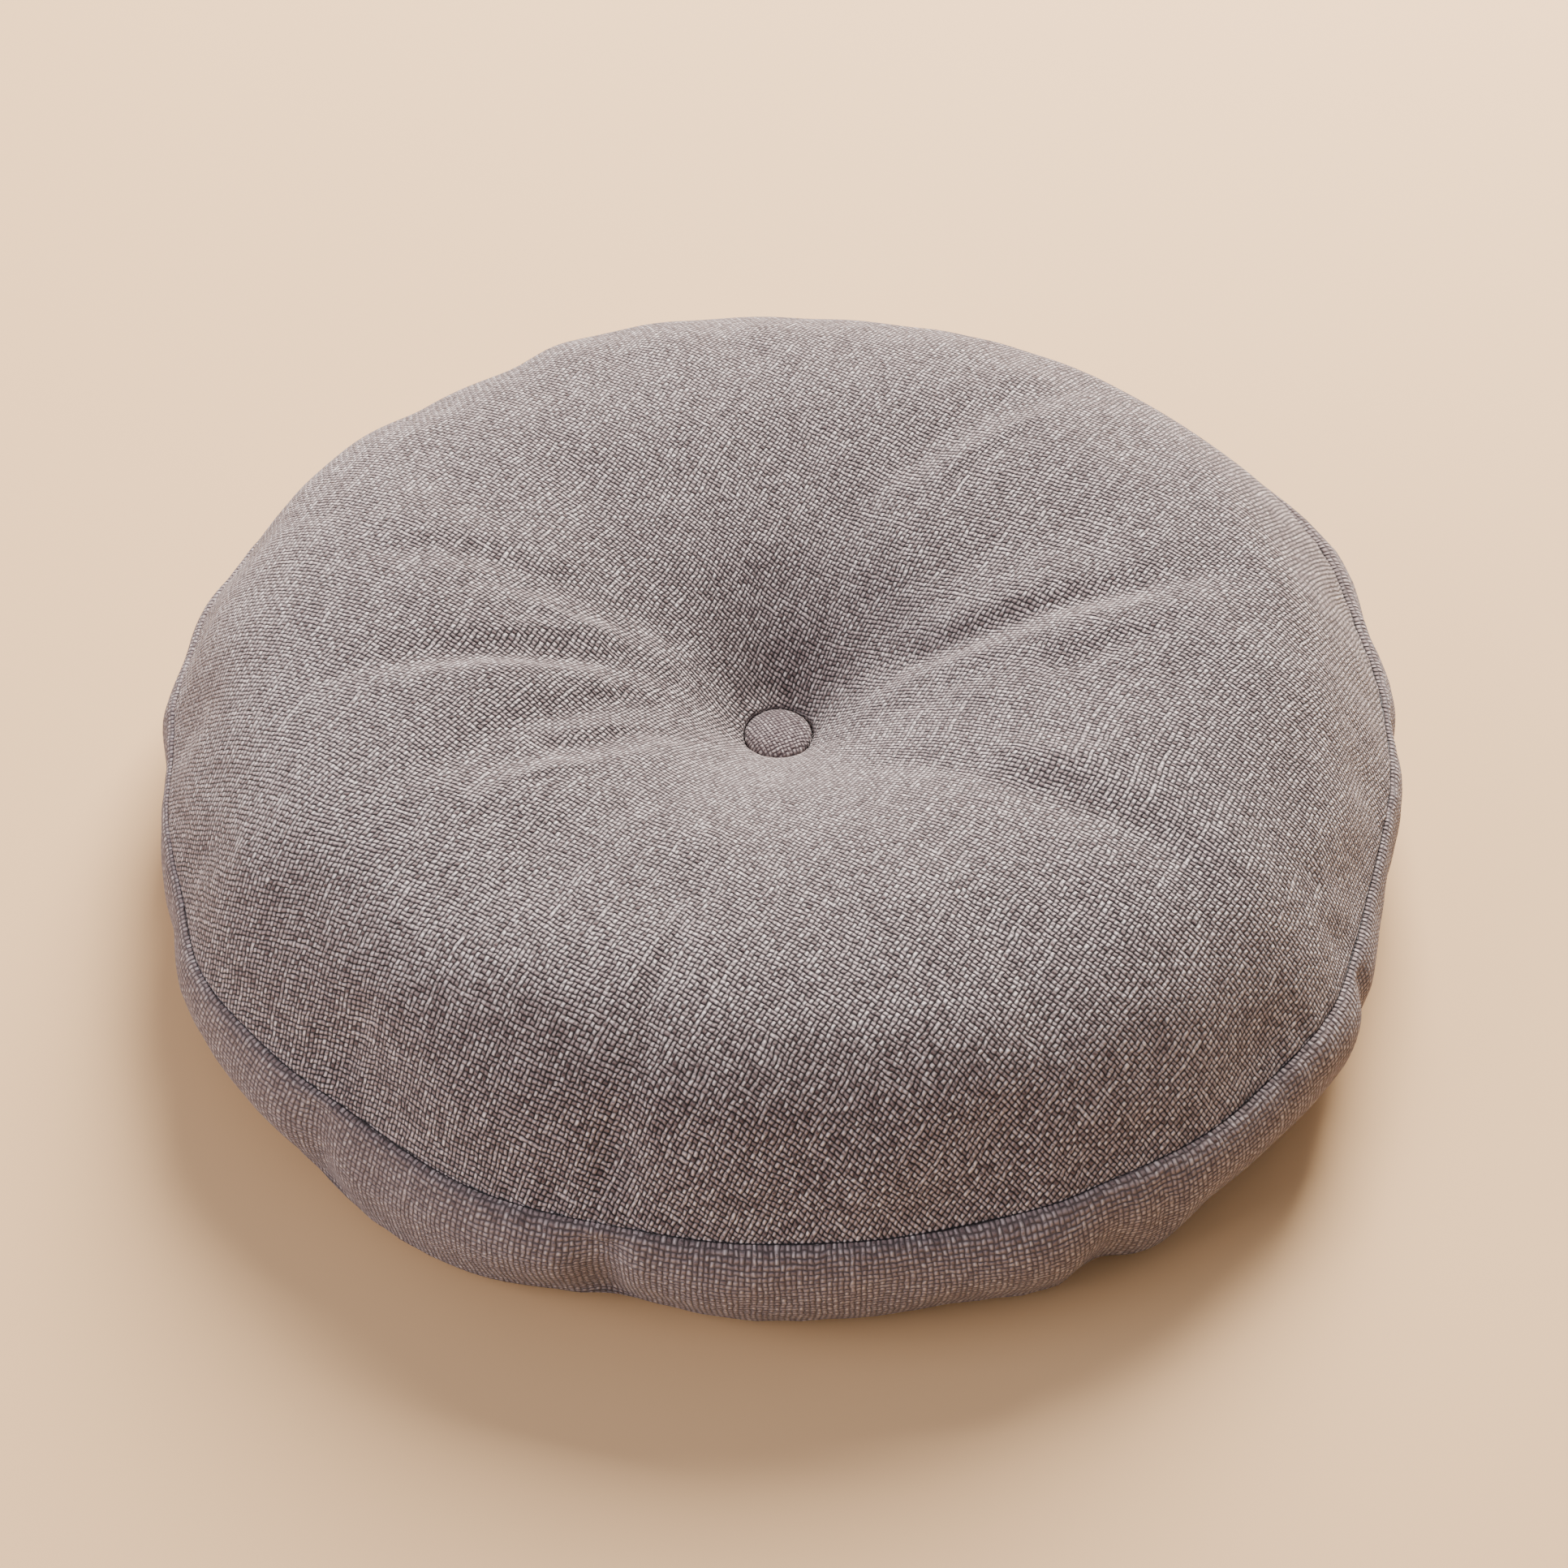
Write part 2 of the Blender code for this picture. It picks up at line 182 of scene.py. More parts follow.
PUCKERS = (
    Pucker(2.0, 8.0, 30.0, 60.0, 2.5),
    Pucker(158.0, 8.0, 34.0, 60.0, 2.0),
    Pucker(227.0, 9.0, 30.0, 90.0, 3.0),
    Pucker(255.0, 8.0, 42.0, 90.0, 4.5),
    Pucker(303.0, 5.0, 12.0, 46.0, 3.0),
    Pucker(331.5, 5.0, 14.0, 34.0, 3.4),
)


def ease(share: np.ndarray) -> np.ndarray:
    """A smooth step from 0 to 1 as the share goes from 0 to 1."""
    share = np.clip(share, 0.0, 1.0)
    return share * share * (3.0 - 2.0 * share)


def bump(distance: np.ndarray) -> np.ndarray:
    """A soft hump of height 1 at distance 0, level with its ground from about distance 2."""
    return np.exp(-distance * distance)


def turn_between(angle: np.ndarray, other: float | np.ndarray) -> np.ndarray:
    """The turn from one angle to another in radians, the short way round."""
    return (angle - other + math.pi) % FULL_TURN - math.pi


def curve_through(places: list[float], values: list[float], at: np.ndarray) -> np.ndarray:
    """Read a smooth curve through rows of places and values, with no overshoot between them.

    Args:
        places: where the rows lie, in rising order.
        values: the value of each row.
        at: where the curve is read.

    Returns:
        The curve's value at each of those places.
    """
    x, y = np.array(places), np.array(values)
    slopes = np.diff(y) / np.diff(x)
    before, after = slopes[:-1], slopes[1:]
    same_way = before * after > 0.0
    total = np.where(same_way, before + after, 1.0)
    inner = np.where(same_way, 2.0 * before * after / total, 0.0)
    tangents = np.concatenate([slopes[:1], inner, slopes[-1:]])
    index = np.clip(np.searchsorted(x, at, side="left") - 1, 0, len(slopes) - 1)
    span = x[index + 1] - x[index]
    t = (at - x[index]) / span
    lean = t * (1.0 - t) ** 2 * tangents[index] - t * t * (1.0 - t) * tangents[index + 1]
    return y[index] + (y[index + 1] - y[index]) * t * t * (3.0 - 2.0 * t) + span * lean


def uneven(angle: np.ndarray, waves: tuple[int, int], seed: int) -> np.ndarray:
    """A wavy value round the cushion, from seeded waves, mostly between -1 and 1.

    Args:
        angle: where it is read, in radians.
        waves: the fewest and the most waves in a full turn.
        seed: which run of waves it is.

    Returns:
        The value at each angle.
    """
    draw = np.random.default_rng(seed)
    counts = np.unique(draw.integers(waves[0], waves[1] + 1, size=9))
    total = np.zeros_like(angle)
    for count in counts:
        total += np.sin(count * angle + draw.uniform(0.0, FULL_TURN)) * draw.uniform(0.5, 1.0)
    return total / math.sqrt(len(counts)) * 1.2


@dataclass
class CushionForm:
    """The shape of the stuffed cover: where the cloth at a station and an angle lies.

    Its tables are in millimetres, and what it returns is in metres.
    """

    outline: tuple[Outline, ...] = OUTLINE
    top_section: tuple[Height, ...] = TOP_SECTION
    bottom_section: tuple[Height, ...] = BOTTOM_SECTION
    folds: tuple[Fold, ...] = FOLDS
    puckers: tuple[Pucker, ...] = PUCKERS
    upper_seam_height: float = 51.0 * MM
    seam_centre: Vector = field(default_factory=lambda: Vector((0.7, 1.3, 0.0)) * MM)
    button_offset: Vector = field(default_factory=lambda: Vector((-0.8, -0.4, 0.0)) * MM)
    button_pull_share: float = 0.7
    button_radius: float = 12.0 * MM
    dimple_tilt: float = 0.09
    dimple_tilt_degrees: float = 112.0
    dimple_reach: float = 60.0 * MM
    band_roundness: float = 0.95
    band_lean: float = 0.65
    crown_fade_inner: float = 0.5
    crown_fade_outer: float = 0.3
    trough_offset: float = 1.9
    fold_open_side: float = 2.4
    pucker_edge_share: float = 0.06
    pucker_slope: float = 0.7
    pucker_band_edge: float = 0.12
    seam_wander: float = 0.5 * MM
    lip_lean: float = 2.1 * MM
    lip_degrees: float = 125.0
    lip_width: float = 46.0

    def column(self, name: str, angle: np.ndarray) -> np.ndarray:
        """Read one column of the outline all the way round, in metres."""
        places = [row.degrees for row in self.outline]
        values = [getattr(row, name) for row in self.outline]
        places = [places[-1] - 360.0] + places + [places[0] + 360.0]
        values = [values[-1]] + values + [values[0]]
        return curve_through(places, values, np.degrees(angle) % 360.0) * MM

    def section(self, rows: tuple[Height, ...], share: np.ndarray) -> np.ndarray:
        """Read the height of a panel's section at a share of the seam's radius, in metres."""
        return curve_through([row.share for row in rows], [row.height for row in rows], share) * MM

    def fold_angle(self, fold: Fold, share: np.ndarray) -> np.ndarray:
        """The angle of a fold's ridge at a share of its length, in radians."""
        inner = math.radians(fold.inner_degrees)
        return inner + turn_between(math.radians(fold.outer_degrees), inner) * share

    def fold_height(self, radius: np.ndarray, angle: np.ndarray) -> np.ndarray:
        """How far the folds from the button lift the top panel at a place in plan, in metres."""
        height = np.zeros_like(radius)
        for fold in self.folds:
            share = (radius / MM - fold.start) / (fold.end - fold.start)
            across = radius / MM * turn_between(angle, self.fold_angle(fold, share)) / fold.half_width
            taper = ease(3.0 * share) * ease(1.8 * (1.0 - share))
            trough = bump(across - self.trough_offset * fold.side)
            ridge = bump(np.where(across * fold.side < 0.0, across / self.fold_open_side, across))
            height += taper * (fold.lift * ridge - fold.dip * trough)
        return height * MM

    def pucker_depth(self, way: str, distance: np.ndarray, angle: np.ndarray) -> np.ndarray:
        """How deep the seam's dents are at a distance from it on its "reach" or "down" side, in metres."""
        depth = np.zeros_like(distance)
        seam = self.column("seam", angle)
        for pucker in self.puckers:
            across = seam / MM * turn_between(angle, math.radians(pucker.degrees)) / pucker.half_width
            depth += pucker.depth * bump(across) * ease(1.0 - distance / MM / getattr(pucker, way))
        return depth * MM

    def seam_radius(self, angle: np.ndarray) -> np.ndarray:
        """The upper seam's radius, which wanders a little as a sewn line does."""
        return self.column("seam", angle) + self.seam_wander * uneven(angle, (9, 34), 3)

    def joined(self, radius: np.ndarray, height: np.ndarray, angle: np.ndarray,
               share: np.ndarray | None = None) -> np.ndarray:
        """Turn radii, heights and angles into points; a panel's middle is pulled aside by its button."""
        aside = np.zeros_like(radius) if share is None else 1.0 - ease(share / self.button_pull_share)
        x = radius * np.cos(angle) + self.seam_centre.x + self.button_offset.x * aside
        y = radius * np.sin(angle) + self.seam_centre.y + self.button_offset.y * aside
        return np.stack([x, y, height], axis=-1)

    def top(self, share: np.ndarray, angle: np.ndarray) -> np.ndarray:
        """The top panel at a share of the seam's radius."""
        seam = self.seam_radius(angle)
        radius = share * seam
        lift = self.column("crown", angle)
        lift = lift * ease(share / self.crown_fade_inner) * ease((1.0 - share) / self.crown_fade_outer)
        distance = (1.0 - share) * seam
        dent = self.pucker_depth("reach", distance, angle) * ease((1.0 - share) / self.pucker_edge_share)
        height = self.section(self.top_section, share) + lift + self.fold_height(radius, angle)
        tilt = self.dimple_tilt * np.cos(angle - math.radians(self.dimple_tilt_degrees))
        height += tilt * bump(radius / self.dimple_reach) * np.maximum(0.0, radius - self.button_radius)
        turned = np.degrees(turn_between(angle, math.radians(self.lip_degrees))) / self.lip_width
        lip = bump(turned) * bump((share - 0.060) / 0.012) * (share > 0.0563)
        radius = radius - self.pucker_slope * dent - self.lip_lean * lip
        height = height - self.pucker_slope * dent + self.lip_lean * lip
        return self.joined(radius, height, angle, share)

    def band(self, share: np.ndarray, angle: np.ndarray) -> np.ndarray:
        """The side band at a share of the way down from the upper seam to the lower one."""
        drop = (self.upper_seam_height - self.column("foot", angle)) * share
        edge = ease(share / self.pucker_band_edge) * ease((1.0 - share) / self.pucker_band_edge)
        dent = self.pucker_depth("down", drop, angle) * edge
        arch = np.sin(math.pi * np.clip(share, 0.0, 1.0) ** self.band_lean) ** self.band_roundness
        belly = self.column("bulge", angle) * arch - dent
        radius = self.seam_radius(angle) - self.column("tuck", angle) * share + belly
        return self.joined(radius, self.upper_seam_height - drop, angle)

    def bottom(self, share: np.ndarray, angle: np.ndarray) -> np.ndarray:
        """The bottom panel at a share of the lower seam's radius."""
        radius = share * (self.seam_radius(angle) - self.column("tuck", angle))
        flat_edge = self.bottom_section[-3].share
        rise = self.column("foot", angle) - self.bottom_section[-1].height * MM
        rise = rise * ease((share - flat_edge) / (1.0 - flat_edge))
        return self.joined(radius, self.section(self.bottom_section, share) + rise, angle, share)

    def points(self, station: np.ndarray, angle: np.ndarray) -> np.ndarray:
        """Where the cloth lies.

        Args:
            station: 0 to 1 out over the top panel, 1 to 2 down the band, 2 to 3 in over the bottom panel.
            angle: radians from +X.

        Returns:
            A row of x, y and z in metres for each of them.
        """
        top = self.top(np.clip(station, 0.0, 1.0), angle)
        band = self.band(np.clip(station - 1.0, 0.0, 1.0), angle)
        bottom = self.bottom(np.clip(3.0 - station, 0.0, 1.0), angle)
        here = station[:, None]
        return np.where(here <= 1.0, top, np.where(here <= 2.0, band, bottom))

    def arc_lengths(self, stations: np.ndarray) -> np.ndarray:
        """How far along the cloth each station is from station 0, on a mean section, in metres."""
        fine = np.linspace(0.0, 3.0, 3001)
        turns = np.linspace(0.0, FULL_TURN, 24, endpoint=False)
        lengths = np.zeros(len(fine) - 1)
        for turn in turns:
            rows = self.points(fine, np.full_like(fine, turn))
            lengths += np.linalg.norm(np.diff(rows, axis=0), axis=1) / len(turns)
        return np.interp(stations, fine, np.concatenate([[0.0], np.cumsum(lengths)]))


def hex_colour(code: str) -> tuple[float, float, float, float]:
    """Turn an sRGB hex colour into a linear one with full alpha."""
    channels = [int(code[index:index + 2], 16) / 255.0 for index in (1, 3, 5)]
    linear = [c / 12.92 if c <= 0.04045 else ((c + 0.055) / 1.055) ** 2.4 for c in channels]
    return linear[0], linear[1], linear[2], 1.0


class Nodes:
    """A material's node tree, with one way to add a node and short ways to the sums that a weave needs."""

    def __init__(self, name: str) -> None:
        """Make an empty node material.

        Args:
            name: what the material is.
        """
        self.material = bpy.data.materials.new(name)
        self.material.use_nodes = True
        self.tree = self.material.node_tree
        self.shader = self.tree.nodes["Principled BSDF"]

    def add(self, kind: str, settings: dict[str, object] | None = None,
            inputs: dict[int | str, object] | None = None) -> bpy.types.Node:
        """Add a node.

        Args:
            kind: the node's type name.
            settings: properties of the node by name.
            inputs: by input socket, either the output socket that feeds it or its plain value.

        Returns:
            The new node.
        """
        node = self.tree.nodes.new(kind)
        for name, value in (settings or {}).items():
            setattr(node, name, value)
        for socket, value in (inputs or {}).items():
            if isinstance(value, bpy.types.NodeSocket):
                self.tree.links.new(value, node.inputs[socket])
            else:
                node.inputs[socket].default_value = value
        return node

    def maths(self, operation: str, *inputs: object) -> bpy.types.NodeSocket:
        """Combine numbers, each a socket or a plain value, with one of Blender's operations."""
        return self.add("ShaderNodeMath", {"operation": operation}, dict(enumerate(inputs))).outputs[0]

    def vector(self, operation: str, *inputs: object) -> bpy.types.NodeSocket:
        """Combine vectors with one of Blender's operations that gives a vector."""
        return self.add("ShaderNodeVectorMath", {"operation": operation}, dict(enumerate(inputs))).outputs[0]

    def choose(self, choice: bpy.types.NodeSocket, one: object, other: object) -> bpy.types.NodeSocket:
        """Take the first value where the choice is 1, and the other where it is 0."""
        return self.add("ShaderNodeMix", {"data_type": "FLOAT"}, {0: choice, 2: other, 3: one}).outputs[0]

    def noise(self, place: bpy.types.NodeSocket, scale: float, detail: float) -> bpy.types.Node:
        """Smooth random values over a plane."""
        return self.add("ShaderNodeTexNoise", {"noise_dimensions": "2D"},
                        {"Vector": place, "Scale": scale, "Detail": detail})

    def ramp(self, value: bpy.types.NodeSocket, stops: tuple[tuple[float, str], ...]) -> bpy.types.NodeSocket:
        """Turn a number into a colour by a row of positions and hex colours."""
        node = self.add("ShaderNodeValToRGB", None, {0: value})
        for _ in stops[2:]:
            node.color_ramp.elements.new(0.5)
        for element, (position, code) in zip(node.color_ramp.elements, stops):
            element.position = position
            element.color = hex_colour(code)
        return node.outputs[0]


@dataclass(frozen=True)
class LinenLook:
    """Mauve-grey linen-look polyester: a coarse plain weave of slubby two-tone yarns.

    Each yarn changes from pale to dark along its length. Where it thickens to a slub it covers the yarns that
    it crosses, so short runs of either set of yarns stand out. The gaps between them are painted dark as
    shade. A dark line of painted shade runs along each seam, and the side band is painted darker and flatter
    because it lies in shade. It has a dull surface with a little fuzz that catches the light at its edge.
    """

    name: str
    warp_pitch: float = 1.82 * MM
    weft_pitch: float = 1.76 * MM
    warp_degrees: float = 59.0
    wander: float = 2.0 * MM
    wander_waves: float = 45.0
    jitter: float = 0.9 * MM
    jitter_waves: float = 285.0
    interlace: float = 0.32
    slub: float = 1.2
    set_contrast: float = 0.08
    crossing_contrast: float = 0.32
    # painted shade: a dark line along each seam, for the shade in its narrow groove, a little ragged along the
    # yarns
    seam_shade_ragged: float = 0.12
    seam_shade_starts: float = 0.68
    seam_shade_full: float = 0.9
    pale_yarn: str = "#F8EAE4"
    middle_yarn: str = "#BAA7A3"
    dark_yarn: str = "#715E5B"
    # painted shade: the dark colour of the gaps between the yarns, where shade falls
    gap_shade: str = "#0F0A09"
    # painted shade: the side band is mixed toward a darker, flatter tone, as it lies in shade
    band_shade_share: float = 0.45
    band_shade_tone: str = "#776865"
    bump_height: float = 0.8 * MM
    roughness: float = 0.92
    sheen: float = 0.25
    specular: float = 0.25

    def build(self) -> bpy.types.Material:
        """Make the material on the piece's own UV map, which is in metres of flat cloth."""
        nodes = Nodes(self.name)
        cloth = nodes.add("ShaderNodeUVMap", {"uv_map": "cloth"}).outputs[0]
        laid = self.shifted(nodes, cloth, self.wander, self.wander_waves)
        laid = self.shifted(nodes, laid, self.jitter, self.jitter_waves)
        across_warp = self.yarn_count(nodes, laid, self.warp_degrees + 90.0, self.warp_pitch)
        across_weft = self.yarn_count(nodes, laid, self.warp_degrees, self.weft_pitch)
        crossing = nodes.maths("MULTIPLY", self.wave(nodes, across_warp), self.wave(nodes, across_weft))
        warp_tone = self.yarn_tone(nodes, across_warp, across_weft, 0.0)
        weft_tone = self.yarn_tone(nodes, across_weft, across_warp, 37.0)
        lead = nodes.maths("MULTIPLY", nodes.maths("SUBTRACT", warp_tone, weft_tone), self.slub)
        warp_on_top = nodes.maths("GREATER_THAN", nodes.maths("MULTIPLY_ADD", crossing, self.interlace, lead), 0.0)
        height = nodes.choose(warp_on_top, self.yarn_height(nodes, across_warp, across_weft, warp_tone),
                              self.yarn_height(nodes, across_weft, across_warp, weft_tone))
        tone = nodes.choose(warp_on_top, nodes.maths("ADD", warp_tone, self.set_contrast),
                            nodes.maths("SUBTRACT", weft_tone, self.set_contrast))
        cell = nodes.add("ShaderNodeCombineXYZ", None, {0: nodes.maths("FLOOR", across_warp),
                                                        1: nodes.maths("FLOOR", across_weft)}).outputs[0]
        chance = nodes.add("ShaderNodeTexWhiteNoise", {"noise_dimensions": "2D"}, {"Vector": cell}).outputs[0]
        tone = nodes.maths("MULTIPLY_ADD", nodes.maths("SUBTRACT", chance, 0.5), self.crossing_contrast, tone)
        yarn = nodes.ramp(tone, ((0.2, self.dark_yarn), (0.5, self.middle_yarn), (0.8, self.pale_yarn)))
        # painted shade: where the weave is low, between the yarns, its colour is mixed toward the gap's dark
        # colour
        lit = nodes.add("ShaderNodeMapRange", {"interpolation_type": "SMOOTHSTEP"},
                        {"Value": height, "From Min": 0.0, "From Max": 1.0}).outputs[0]
        # painted shade: near a seam the colour goes to the gap's dark colour, for the shade in the seam's groove
        near = nodes.add("ShaderNodeAttribute", {"attribute_name": "seam"}).outputs["Fac"]
        ragged = nodes.maths("MULTIPLY_ADD", height, -self.seam_shade_ragged, near)
        lit = nodes.maths("MULTIPLY", lit, nodes.add("ShaderNodeMapRange", {"interpolation_type": "SMOOTHSTEP"}, {
            "Value": ragged, "From Min": self.seam_shade_starts, "From Max": self.seam_shade_full,
            "To Min": 1.0, "To Max": 0.0}).outputs[0])
        colour = nodes.add("ShaderNodeMix", {"data_type": "RGBA"},
                           {0: lit, 6: hex_colour(self.gap_shade), 7: yarn}).outputs[2]
        # painted shade: the side band's colour is mixed toward a darker, flatter tone, as it lies in shade
        band_shade = nodes.add("ShaderNodeAttribute", {"attribute_name": "band_shade"}).outputs["Fac"]
        colour = nodes.add("ShaderNodeMix", {"data_type": "RGBA"}, {
            0: nodes.maths("MULTIPLY", band_shade, self.band_shade_share), 6: colour,
            7: hex_colour(self.band_shade_tone)}).outputs[2]
        bumped = nodes.add("ShaderNodeBump", None,
                           {"Strength": 1.0, "Distance": self.bump_height, "Height": height}).outputs[0]
        nodes.tree.links.new(colour, nodes.shader.inputs["Base Color"])
        nodes.tree.links.new(bumped, nodes.shader.inputs["Normal"])
        nodes.shader.inputs["Roughness"].default_value = self.roughness
        nodes.shader.inputs["Specular IOR Level"].default_value = self.specular
        nodes.shader.inputs["Sheen Weight"].default_value = self.sheen
        nodes.shader.inputs["Sheen Roughness"].default_value = 0.5
        return nodes.material

    def shifted(self, nodes: Nodes, place: bpy.types.NodeSocket, reach: float,
                waves: float) -> bpy.types.NodeSocket:
        """Push the cloth to and fro a little, so that its yarns don't run quite straight."""
        noise = nodes.noise(place, waves, 1.0).outputs["Color"]
        middle = nodes.vector("SUBTRACT", noise, (0.5, 0.5, 0.5))
        return nodes.add("ShaderNodeVectorMath", {"operation": "MULTIPLY_ADD"},
                         {0: middle, 1: (reach, reach, reach), 2: place}).outputs[0]

    def yarn_count(self, nodes: Nodes, laid: bpy.types.NodeSocket, degrees: float,
                   pitch: float) -> bpy.types.NodeSocket:
        """Count yarns over the cloth in one direction, one yarn to each whole number."""
        way = (math.cos(math.radians(degrees)) / pitch, math.sin(math.radians(degrees)) / pitch, 0.0)
        return nodes.add("ShaderNodeVectorMath", {"operation": "DOT_PRODUCT"}, {0: laid, 1: way}).outputs["Value"]

    def wave(self, nodes: Nodes, count: bpy.types.NodeSocket) -> bpy.types.NodeSocket:
        """A wave that crosses zero between yarns and peaks at their middles."""
        return nodes.maths("SINE", nodes.maths("MULTIPLY", count, math.pi))

    def yarn_height(self, nodes: Nodes, across: bpy.types.NodeSocket, along: bpy.types.NodeSocket,
                    tone: bpy.types.NodeSocket) -> bpy.types.NodeSocket:
        """The height of the yarn on top: round across, dipping between crossings, filled where it is a slub."""
        rounded = nodes.maths("POWER", nodes.maths("ABSOLUTE", self.wave(nodes, across)), 1.25)
        dipped = nodes.maths("POWER", nodes.maths("ABSOLUTE", self.wave(nodes, along)), 0.45)
        filled = nodes.maths("MULTIPLY_ADD", tone, 3.0, -1.3)
        return nodes.maths("MULTIPLY", rounded, nodes.maths("MAXIMUM", dipped, filled))

    def yarn_tone(self, nodes: Nodes, across: bpy.types.NodeSocket, along: bpy.types.NodeSocket,
                  offset: float) -> bpy.types.NodeSocket:
        """How pale and thick a yarn is: slow and quick changes along it, with a start of its own."""
        start = nodes.maths("MULTIPLY_ADD", nodes.maths("FLOOR", across), 7.31, offset)
        tone = 0.275
        for rate, weight in ((0.05, 0.15), (0.42, 0.3)):
            place = nodes.add("ShaderNodeCombineXYZ", None, {0: start, 1: nodes.maths("MULTIPLY", along, rate)})
            value = nodes.noise(place.outputs[0], 1.0, 0.0).outputs[0]
            tone = nodes.maths("MULTIPLY_ADD", value, weight, tone)
        return tone


class Meridians:
    """The lines of faces that run out from the middle, closer together across the folds."""

    STEPS = 1440
    CROWDING = 1.4
    CROWDING_LIMIT = 1.5
    CROWDED_DEGREES = 7.0

    def __init__(self, form: CushionForm, count: int) -> None:
        """Work out the angles of a number of lines round a form."""
        marks = [float(form.fold_angle(fold, np.array(0.5))) for fold in form.folds]
        marks += [math.radians(pucker.degrees) for pucker in form.puckers]
        here = (np.arange(self.STEPS) + 0.5) * FULL_TURN / self.STEPS
        near = sum(bump(np.degrees(turn_between(here, mark)) / self.CROWDED_DEGREES) for mark in marks)
        density = 1.0 + self.CROWDING * np.minimum(near, self.CROWDING_LIMIT)
        sums = np.concatenate([[0.0], np.cumsum(density)])
        wanted = sums[-1] * np.arange(count) / count
        self.angles = np.interp(wanted, sums, np.arange(self.STEPS + 1)) * FULL_TURN / self.STEPS


